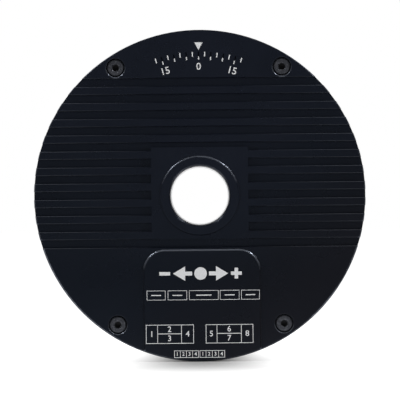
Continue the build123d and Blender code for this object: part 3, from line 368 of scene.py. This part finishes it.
class Tree:
    """A geometry node tree with named inputs, used once for each set of pieces."""

    kinds = {float: "NodeSocketFloat", int: "NodeSocketInt"}

    def __init__(self, name, **inputs):
        self.group = bpy.data.node_groups.new(name, "GeometryNodeTree")
        self.sockets = {}
        face = self.group.interface
        for key, value in {"Geometry": None, **inputs}.items():
            kind = self.kinds.get(type(value), "NodeSocketGeometry")
            kind = "NodeSocketObject" if value == "object" else kind
            kind = "NodeSocketMaterial" if value == "material" else kind
            title = key.replace("_", " ")
            socket = face.new_socket(name=title, in_out="INPUT", socket_type=kind)
            if type(value) in self.kinds:
                socket.default_value = value
            self.sockets[key] = socket.identifier
        face.new_socket(name="Geometry", in_out="OUTPUT", socket_type="NodeSocketGeometry")
        self.inputs = self.node("NodeGroupInput").outputs

    def given(self, key):
        return self.inputs[key.replace("_", " ")]

    def node(self, kind, inputs=None, **settings):
        return add_node(self.group, kind, inputs, **settings)

    def math(self, operation, first, second=0.0):
        return self.node("ShaderNodeMath", {0: first, 1: second}, operation=operation).outputs[0]

    def vector(self, x=0.0, y=0.0, z=0.0):
        return self.node("ShaderNodeCombineXYZ", {0: x, 1: y, 2: z}).outputs[0]

    def finish(self, geometry):
        """Realised instances with their material are what the tree gives."""
        real = self.node("GeometryNodeRealizeInstances", {"Geometry": geometry}).outputs[0]
        inputs = {"Geometry": real, "Material": self.given("Material")}
        dressed = self.node("GeometryNodeSetMaterial", inputs).outputs[0]
        out = self.node("NodeGroupOutput")
        self.group.links.new(dressed, out.inputs[0])
        return self

    def make(self, name, base, **values):
        """A plain mesh object from the tree's result on a base mesh."""
        carrier = bpy.data.objects.new("carrier", base)
        scene.collection.objects.link(carrier)
        modifier = carrier.modifiers.new("tree", "NODES")
        modifier.node_group = self.group
        for key, value in values.items():
            modifier[self.sockets[key]] = value
        bpy.context.view_layer.update()
        seen = carrier.evaluated_get(bpy.context.evaluated_depsgraph_get())
        mesh = bpy.data.meshes.new_from_object(seen)
        carrier.modifiers.clear()
        bpy.data.objects.remove(carrier)
        return placed(name, mesh)


def placed(name, mesh, finish=None):
    """Object at the origin for a mesh that is already in its place."""
    mesh.name = name
    if finish is not None:
        mesh.materials.clear()
        mesh.materials.append(finish.material)
    made = bpy.data.objects.new(name, mesh)
    scene.collection.objects.link(made)
    return made


def smooth(mesh, angle=32):
    """Smooth shading, with edges sharper than the angle left sharp."""
    mesh.shade_smooth()
    mesh.set_sharp_from_angle(angle=radians(angle))


def points_tree():
    """A piece set on every point of the base mesh, turned about the joint's axis direction."""
    tree = Tree("fasteners at places", Piece="object", Turn=0.0, Turn_Spread=0.0, Material="material")
    piece = tree.node("GeometryNodeObjectInfo", {"Object": tree.given("Piece")})
    spread = tree.given("Turn_Spread")
    random = tree.node("FunctionNodeRandomValue", {"Seed": 7}, data_type="FLOAT")
    tree.group.links.new(tree.math("MULTIPLY", spread, -1.0), random.inputs[2])
    tree.group.links.new(spread, random.inputs[3])
    angle = tree.math("ADD", tree.given("Turn"), random.outputs[1])
    inputs = {"Points": tree.given("Geometry"), "Instance": piece.outputs["Geometry"],
              "Rotation": tree.vector(0.0, angle, 0.0)}
    return tree.finish(tree.node("GeometryNodeInstanceOnPoints", inputs).outputs[0])


def round_tree():
    """A piece repeated on a circle about the joint's axis, turned to face outwards."""
    tree = Tree("round pattern", Count=8, First_Angle=0.0, Step=0.0, Material="material")
    line = tree.node("GeometryNodeMeshLine", {"Count": tree.given("Count"), "Offset": (0.0, 0.0, 0.0)})
    index = tree.node("GeometryNodeInputIndex").outputs[0]
    turned = tree.math("MULTIPLY", index, tree.given("Step"))
    angle = tree.math("MULTIPLY", tree.math("ADD", turned, tree.given("First_Angle")), -1.0)
    inputs = {"Points": line.outputs[0], "Instance": tree.given("Geometry"),
              "Rotation": tree.vector(0.0, angle, 0.0)}
    return tree.finish(tree.node("GeometryNodeInstanceOnPoints", inputs).outputs[0])


def thread_tree():
    """The raised turns of a tapped hole, wound along -y from the mouth."""
    tree = Tree("tapped thread", Radius=0.002, Pitch=0.0008, Turns=8.0, Ridge=0.0002,
                Material="material")
    height = tree.math("MULTIPLY", tree.given("Turns"), tree.given("Pitch"))
    spiral = {"Resolution": 28, "Rotations": tree.given("Turns"), "Start Radius": tree.given("Radius"),
              "End Radius": tree.given("Radius"), "Height": height}
    path = tree.node("GeometryNodeCurveSpiral", spiral).outputs[0]
    inputs = {"Resolution": 4, "Radius": tree.given("Ridge")}
    profile = tree.node("GeometryNodeCurvePrimitiveCircle", inputs).outputs[0]
    inputs = {"Curve": path, "Profile Curve": profile, "Fill Caps": True}
    turns = tree.node("GeometryNodeCurveToMesh", inputs).outputs[0]
    turned = tree.node("GeometryNodeTransform", {"Geometry": turns, "Rotation": (pi / 2, 0.0, 0.0)})
    inputs = {"Points": tree.given("Geometry"), "Instance": turned.outputs[0]}
    return tree.finish(tree.node("GeometryNodeInstanceOnPoints", inputs).outputs[0])


def point_mesh(places):
    mesh = bpy.data.meshes.new("places")
    mesh.from_pydata([tuple(place) for place in places], [], [])
    return mesh


def islands(name):
    """Lowest and highest corner of each separate solid of a CAD node."""
    mesh = bmesh.new()
    mesh.from_mesh(nodes[name].data)
    bmesh.ops.remove_doubles(mesh, verts=mesh.verts, dist=0.002 * mm)
    left, found = set(mesh.verts), []
    while left:
        start = left.pop()
        stack, group = [start], [start.co.copy()]
        while stack:
            for edge in stack.pop().link_edges:
                for vertex in edge.verts:
                    if vertex in left:
                        left.discard(vertex)
                        stack.append(vertex)
                        group.append(vertex.co.copy())
        low = Vector(min(point[axis] for point in group) for axis in range(3))
        high = Vector(max(point[axis] for point in group) for axis in range(3))
        found.append((low, high))
    mesh.free()
    return sorted(found, key=lambda box: tuple(round(value, 5) for value in box[0]))


def socket_screw(name, shank, head, height, across, length, thread, pitch, chamfer=0.35):
    """Socket screw along y: its head's top at y = 0 looks towards -y, and its shank points along +y.
    All sizes are in millimetres. The thread is a true helix on the last part of the shank."""
    count = 72              # corners round the head
    coarse = count // 3     # corners round the shank
    knurl = 0.06            # depth of the grip's ridges
    mesh = bmesh.new()

    def loop(outline, depth):
        return [mesh.verts.new((x * mm, depth * mm, z * mm)) for x, z in outline]

    def outlined(radii):
        turn = 2 * pi / len(radii)
        return [(radius * cos(turn * n), radius * sin(turn * n)) for n, radius in enumerate(radii)]

    def circle(radius, wave=0.0):
        return outlined([radius + wave * (1 if n % 4 < 2 else -1) for n in range(count)])

    def hexagon(width):
        within = [(2 * pi * n / count + pi / 6) % (pi / 3) - pi / 6 for n in range(count)]
        return outlined([width / 2 / cos(angle) for angle in within])

    def join(first, second):
        size = len(first)
        for n in range(size):
            mesh.faces.new((first[n], first[(n + 1) % size], second[(n + 1) % size], second[n]))

    corner = across / 2 / cos(pi / 6)
    depth = 0.55 * height
    chain = [
        loop(circle(corner * 0.55), depth + 0.12), loop(hexagon(across * 0.96), depth),
        loop(hexagon(across), depth - 0.15), loop(hexagon(across), 0.22),
        loop(circle(corner + 0.12), 0.0), loop(circle(head - chamfer - 0.25), 0.0),
        loop(circle(head - chamfer), 0.05),
        loop(circle(head - knurl), chamfer), loop(circle(head - knurl, knurl), chamfer + 0.1),
        loop(circle(head - knurl, knurl), height - 0.25), loop(circle(head - 0.1), height - 0.1),
        loop(circle(head - 0.25), height), loop(circle(shank + 0.2), height),
        loop(circle(shank), height + 0.2),
    ]
    for first, second in zip(chain, chain[1:]):
        join(first, second)
    tip = mesh.verts.new((0, (depth + 0.6) * mm, 0))
    for n in range(count):
        mesh.faces.new((chain[0][(n + 1) % count], chain[0][n], tip))

    start = height + length - thread
    neck = chain[-1]
    plain = loop(outlined([shank] * coarse), start)
    for n in range(coarse):
        triple = [neck[(3 * n + step) % count] for step in range(4)]
        mesh.faces.new((*triple, plain[(n + 1) % coarse], plain[n]))
    rows = int(thread / pitch * 4)
    last = plain
    for row in range(1, rows + 1):
        y = start + (thread - 0.4) * row / rows
        deep = 0.54 * pitch * min(1, (row - 1) / 4)
        phases = [(y / pitch + n / coarse) % 1 for n in range(coarse)]
        ring = loop(outlined([shank - deep * (1 - abs(2 * phase - 1)) for phase in phases]), y)
        join(last, ring)
        last = ring
    end = loop(outlined([0.72 * shank] * coarse), height + length)
    join(last, end)
    mesh.faces.new(end[::-1])
    bmesh.ops.recalc_face_normals(mesh, faces=mesh.faces)
    made = bpy.data.meshes.new(name)
    mesh.to_mesh(made)
    mesh.free()
    smooth(made, 28)
    return made


fasteners = points_tree()


def fit_screws(name, node, facing, turn, spread, **sizes):
    """Detailed screws in place of a CAD node's plain ones. Facing is -1 where the heads look to -y."""
    screw = bpy.data.objects.new("screw", socket_screw("screw", **sizes))
    places = []
    for low, high in islands(node):
        middle = (low + high) / 2
        places.append((middle.x, low.y if facing < 0 else high.y, middle.z))
    if facing > 0:
        screw.data.transform(Matrix.Rotation(pi, 4, "Z"))
    made = fasteners.make(name, point_mesh(places), Piece=screw, Turn=radians(turn),
                          Turn_Spread=radians(spread), Material=finishes["dark_screw"].material)
    bpy.data.objects.remove(screw)
    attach(made, "housing")
    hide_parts(node)


fit_screws("cover_socket_screws", "cover_screws", -1, 15, 25,
           shank=2.0, head=3.5, height=4.0, across=3.0, length=26.0, thread=20.0, pitch=0.7)
fit_screws("front_socket_screws", "housing_screws", 1, 0, 30,
           shank=1.5, head=2.75, height=3.0, across=2.5, length=32.2, thread=12.0, pitch=0.5,
           chamfer=0.3)


def tapped_threads(name, body, circle, face, depth):
    """Thread turns in the eight M5 holes of one face. Sizes are in millimetres."""
    radius, pitch, ridge = 2.1, 0.8, 0.2
    places = []
    for n in range(8):
        angle = radians(22.5 + 45 * n)
        places.append((circle * mm * cos(angle), face * mm, circle * mm * sin(angle)))
    made = thread_tree().make(name, point_mesh(places), Radius=radius * mm, Pitch=pitch * mm,
                              Turns=(depth - 1.0) / pitch, Ridge=ridge * mm,
                              Material=finishes["machined_aluminium"].material)
    smooth(made.data, 40)
    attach(made, body)


tapped_threads("mounting_threads", "housing", circle=66.5, face=-0.5, depth=10.0)
tapped_threads("output_threads", "output", circle=36.0, face=1.0, depth=5.5)


class Print:
    """Flat ink shapes on a face that looks to -y, gathered as one mesh. Sizes are in millimetres."""

    def __init__(self, level):
        self.mesh = bmesh.new()
        self.level = level

    def shape(self, *corners):
        """A closed outline of (x, z) corners, given the ink's thickness."""
        low, high = self.level, self.level - print_thickness
        front = [self.mesh.verts.new((x * mm, high, z * mm)) for x, z in corners]
        back = [self.mesh.verts.new((x * mm, low, z * mm)) for x, z in corners]
        size = len(corners)
        self.mesh.faces.new(front)
        self.mesh.faces.new(back[::-1])
        for n in range(size):
            self.mesh.faces.new((front[n], back[n], back[(n + 1) % size], front[(n + 1) % size]))

    def bar(self, left, bottom, right, top):
        self.shape((left, bottom), (right, bottom), (right, top), (left, top))

    def frame(self, left, bottom, right, top, line):
        self.bar(left, bottom, right, bottom + line)
        self.bar(left, top - line, right, top)
        self.bar(left, bottom + line, left + line, top - line)
        self.bar(right - line, bottom + line, right, top - line)

    def disc(self, x, z, radius, count=32):
        self.shape(*((x + radius * cos(2 * pi * n / count), z + radius * sin(2 * pi * n / count))
                     for n in range(count)))

    def number(self, text, x, z, size, turn=0):
        """A plain figure, centred on its place."""
        curve = bpy.data.curves.new("figure", "FONT")
        curve.body, curve.size = text, size * mm / 0.7
        curve.align_x = curve.align_y = "CENTER"
        curve.resolution_u, curve.offset = 3, 0.03 * mm
        holder = bpy.data.objects.new("figure", curve)
        scene.collection.objects.link(holder)
        bpy.context.view_layer.update()
        seen = holder.evaluated_get(bpy.context.evaluated_depsgraph_get())
        figure = bpy.data.meshes.new_from_object(seen)
        bpy.data.objects.remove(holder)
        upright = Matrix.Rotation(pi / 2, 4, "X") @ Matrix.Rotation(radians(turn), 4, "Z")
        figure.transform(Matrix.Translation((x * mm, self.level - print_thickness, z * mm)) @ upright)
        self.mesh.from_mesh(figure)

    def as_mesh(self, name):
        bmesh.ops.recalc_face_normals(self.mesh, faces=self.mesh.faces)
        mesh = bpy.data.meshes.new(name)
        self.mesh.to_mesh(mesh)
        self.mesh.free()
        return mesh

    def done(self, name):
        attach(placed(name, self.as_mesh(name), ink), "housing")


def pad_print():
    """Frames and figures on the raised pad: five framed bars, two numbered pin tables, two rows."""
    marks = Print(pad_y)
    thin, line, row_line = 0.19, 0.24, 0.22
    for left, right in ((-23.1, -15.1), (-14.1, -5.9), (-5.0, 7.6), (8.2, 16.5), (17.3, 25.2)):
        marks.frame(left, -44.6, right, -40.5, thin)
        inset = 0.24 * (right - left)
        marks.bar(left + inset, -42.75, right - inset, -42.35)
    tables = ((-23.6, -3.1, -18.6, -8.4, 1), (2.0, 22.3, 6.8, 17.2, 5))
    for left, right, first, second, start in tables:
        marks.frame(left, -63.2, right, -55.1, line)
        marks.bar(first - line / 2, -62.9, first + line / 2, -55.4)
        marks.bar(second - line / 2, -62.9, second + line / 2, -55.4)
        marks.bar(first + line / 2, -59.15, second - line / 2, -58.85)
        middle = (first + second) / 2
        for text, x, z in ((start, (left + first) / 2, -59.15), (start + 1, middle, -57.15),
                           (start + 2, middle, -61.05), (start + 3, (second + right) / 2, -59.15)):
            marks.number(str(text), x, z, 2.4)
    for left, right in ((-11.6, -1.1), (-0.7, 10.1)):
        marks.frame(left, -69.3, right, -66.2, row_line)
        step = (right - left) / 4
        for n in range(4):
            if n:
                marks.bar(left + n * step - 0.1, -69.08, left + n * step + 0.1, -66.42)
            marks.number(str(n + 1), left + (n + 0.5) * step, -67.75, 1.5)
    marks.done("pad_print")


def turning_arrow():
    """Bold double arrow with minus and plus for the two ways that the joint turns."""
    marks = Print(pad_y)
    level, half = -33.3, 0.85
    for side in (-1, 1):
        corners = [(side * 3.6, level + half), (side * 6.6, level + half), (side * 6.6, level + 3.1),
                   (side * 11.8, level), (side * 6.6, level - 3.1), (side * 6.6, level - half),
                   (side * 3.6, level - half)]
        marks.shape(*(corners if side > 0 else corners[::-1]))
        marks.bar(side * 15.3 - 2.3, level - 0.75, side * 15.3 + 2.3, level + 0.75)
    marks.bar(14.55, level + 0.75, 16.05, level + 2.3)
    marks.bar(14.55, level - 2.3, 16.05, level - 0.75)
    marks.disc(0, level, 2.7)
    marks.done("turning_arrow")


def angle_scale():
    """Plain angle scale above the grooves, with a mark at zero."""
    marks = Print(face_y)
    marks.shape((-1.8, 65.6), (1.8, 65.6), (0, 62.4))
    for degree in (-15, 0, 15):
        angle = radians(degree)
        marks.number(str(abs(degree)), 55.2 * sin(angle), 55.2 * cos(angle), 3.0, -degree)
    marks.done("scale_figures")
    tree = round_tree()
    for name, step, count, reach in (("scale_ticks", 2.5, 15, 2.0), ("scale_long_ticks", 5.0, 7, 3.4)):
        tick = Print(face_y)
        tick.bar(-0.22, 61.6 - reach, 0.22, 61.6)
        first = radians(-step * (count - 1) / 2)
        made = tree.make(name, tick.as_mesh(name), Count=count, First_Angle=first,
                         Step=radians(step), Material=ink.material)
        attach(made, "housing")


pad_print()
turning_arrow()
angle_scale()


def camera():
    """Long lens, square to the cover, from where the photograph was taken."""
    picture_width = 400
    photo_scale = 2.3366  # picture elements per millimetre at the cover
    distance = 1.5
    data = bpy.data.cameras.new("camera")
    data.sensor_width = 36
    data.lens = data.sensor_width * photo_scale * distance / mm / picture_width
    made = bpy.data.objects.new("camera", data)
    made.location = (0.06 * mm, face_y - distance, -1.88 * mm)
    made.rotation_euler = (pi / 2, radians(0.55), 0)
    data.clip_end = 20
    scene.collection.objects.link(made)
    scene.camera = made


def soft_light(name, place, aim, width, height, power, mirrored=True):
    """Area light. One that isn't mirrored lights the part without a highlight of its own."""
    data = bpy.data.lights.new(name, "AREA")
    data.shape = "RECTANGLE"
    data.size, data.size_y = width, height
    data.energy = power
    made = bpy.data.objects.new(name, data)
    made.visible_glossy = mirrored
    made.location = place
    made.rotation_euler = (Vector(aim) - Vector(place)).to_track_quat("-Z", "Y").to_euler()
    scene.collection.objects.link(made)


def seen_directly(tree):
    """One where a ray comes from the camera, off metal or through glass, and zero elsewhere."""
    path = add_node(tree, "ShaderNodeLightPath")
    value = path.outputs["Is Camera Ray"]
    for name in ("Is Glossy Ray", "Is Transmission Ray"):
        inputs = {0: value, 1: path.outputs[name]}
        value = add_node(tree, "ShaderNodeMath", inputs, operation="MAXIMUM").outputs[0]
    return path, value


def surroundings():
    """White room that lights at a plain level. What shines is dark only behind the photographer."""
    world = bpy.data.worlds.new("studio")
    world.use_nodes = True
    tree = world.node_tree
    background = tree.nodes["Background"]
    background.inputs["Color"].default_value = (1, 1, 1, 1)
    place = add_node(tree, "ShaderNodeTexCoord").outputs["Generated"]
    along = add_node(tree, "ShaderNodeSeparateXYZ", {0: place}).outputs["Y"]
    inputs = {0: along, 1: -0.1, 2: 0.7, 3: 0.165, 4: 1.0}
    dark = add_node(tree, "ShaderNodeMapRange", inputs, interpolation_type="SMOOTHSTEP").outputs[0]
    path, seen = seen_directly(tree)
    white = add_node(tree, "ShaderNodeMix", {0: path.outputs["Is Glossy Ray"], 2: 1.0, 3: dark})
    level = add_node(tree, "ShaderNodeMix", {0: seen, 2: 0.2, 3: white.outputs[0]})
    tree.links.new(level.outputs[0], background.inputs["Strength"])
    scene.world = world


def paper_floor():
    """White floor that glows away from the part and fades into the background; near the part the glow
    fades out in the shape of a painted soft shadow, over the floor's own lit shade.
    """
    bpy.ops.mesh.primitive_grid_add(size=12, x_subdivisions=12, y_subdivisions=12)
    floor = bpy.context.object
    floor.name = "floor"
    floor.location = (0, 0, -housing_radius - 0.02 * mm)
    paper = Finish("paper", (0.37, 0.37, 0.37), 0.9, specular=0.0)
    paper.shader.inputs["Emission Color"].default_value = (1, 1, 1, 1)
    x, y, z = paper.axes()
    middle = face_y / 2
    beyond = paper.math("ADD", paper.math("ABSOLUTE", paper.math("SUBTRACT", y, middle)), middle)
    beyond = paper.math("MAXIMUM", beyond, 0.0)
    ahead = paper.math("MULTIPLY", beyond, 1 / 0.13)
    aside = paper.math("DIVIDE", x, paper.math("MULTIPLY_ADD", beyond, 0.3, 0.032))
    away = paper.math("ADD", paper.math("MULTIPLY", aside, aside), paper.math("MULTIPLY", ahead, ahead))
    path, seen = seen_directly(paper.tree)
    fade = paper.node("ShaderNodeMapRange", {0: paper.math("SQRT", away), 1: 0.05, 2: 1.15},
                      interpolation_type="SMOOTHSTEP").outputs[0]
    glow = paper.math("MULTIPLY", seen, fade)

    # The open floor before the face gets more light than that under the part: both are evened out with
    # painted light, the glow raised under the part and lowered just before the face
    under = paper.ramp(y, face_y, 0.0, 1.0, 1.28)
    glow = paper.math("MINIMUM", paper.math("MULTIPLY", glow, under), 1.0)
    near_face = paper.math("MULTIPLY", paper.ramp(y, face_y + 1 * mm, face_y - 2 * mm),
                           paper.ramp(y, face_y - 32 * mm, face_y - 2 * mm))
    glow = paper.math("MULTIPLY", glow, paper.math("MULTIPLY_ADD", near_face, -0.25, 1.0))

    # Further ahead it is kept out of the face's reflections
    before = paper.ramp(y, -0.08, -0.13, 0.0, 0.9)
    unseen = paper.math("MULTIPLY", path.outputs["Is Glossy Ray"], before)
    glow = paper.math("MULTIPLY", glow, paper.math("SUBTRACT", 1.0, unseen))
    paper.tree.links.new(glow, paper.shader.inputs["Emission Strength"])
    clear = paper.node("ShaderNodeBsdfTransparent").outputs[0]
    below = paper.node("ShaderNodeNewGeometry").outputs["Backfacing"]
    either = paper.node("ShaderNodeMixShader", {0: below, 1: paper.shader.outputs[0], 2: clear})
    paper.tree.links.new(either.outputs[0], paper.tree.nodes["Material Output"].inputs["Surface"])
    floor.data.materials.append(paper.material)


def studio():
    """Soft boxes over both shoulders and overhead, and fills beside the camera and behind."""
    aim = (0, -0.06, 0)
    for side, x in (("left", -1), ("right", 1)):
        soft_light(side + "_box", (0.42 * x, -0.12, 0.52), aim, 0.12, 0.16, 2.3)
        soft_light(side + "_fill", (1.5 * x, -1.1, 0.0), aim, 0.5, 0.5, 17, mirrored=False)
    soft_light("top_box", (0, -0.15, 0.8), aim, 0.3, 0.3, 0.3)
    soft_light("back_fill", (-0.7, 1.2, 0.6), (0, -0.04, 0), 1.2, 1.2, 2)
    surroundings()
    paper_floor()


camera()
studio()
scene.view_settings.view_transform = "Standard"
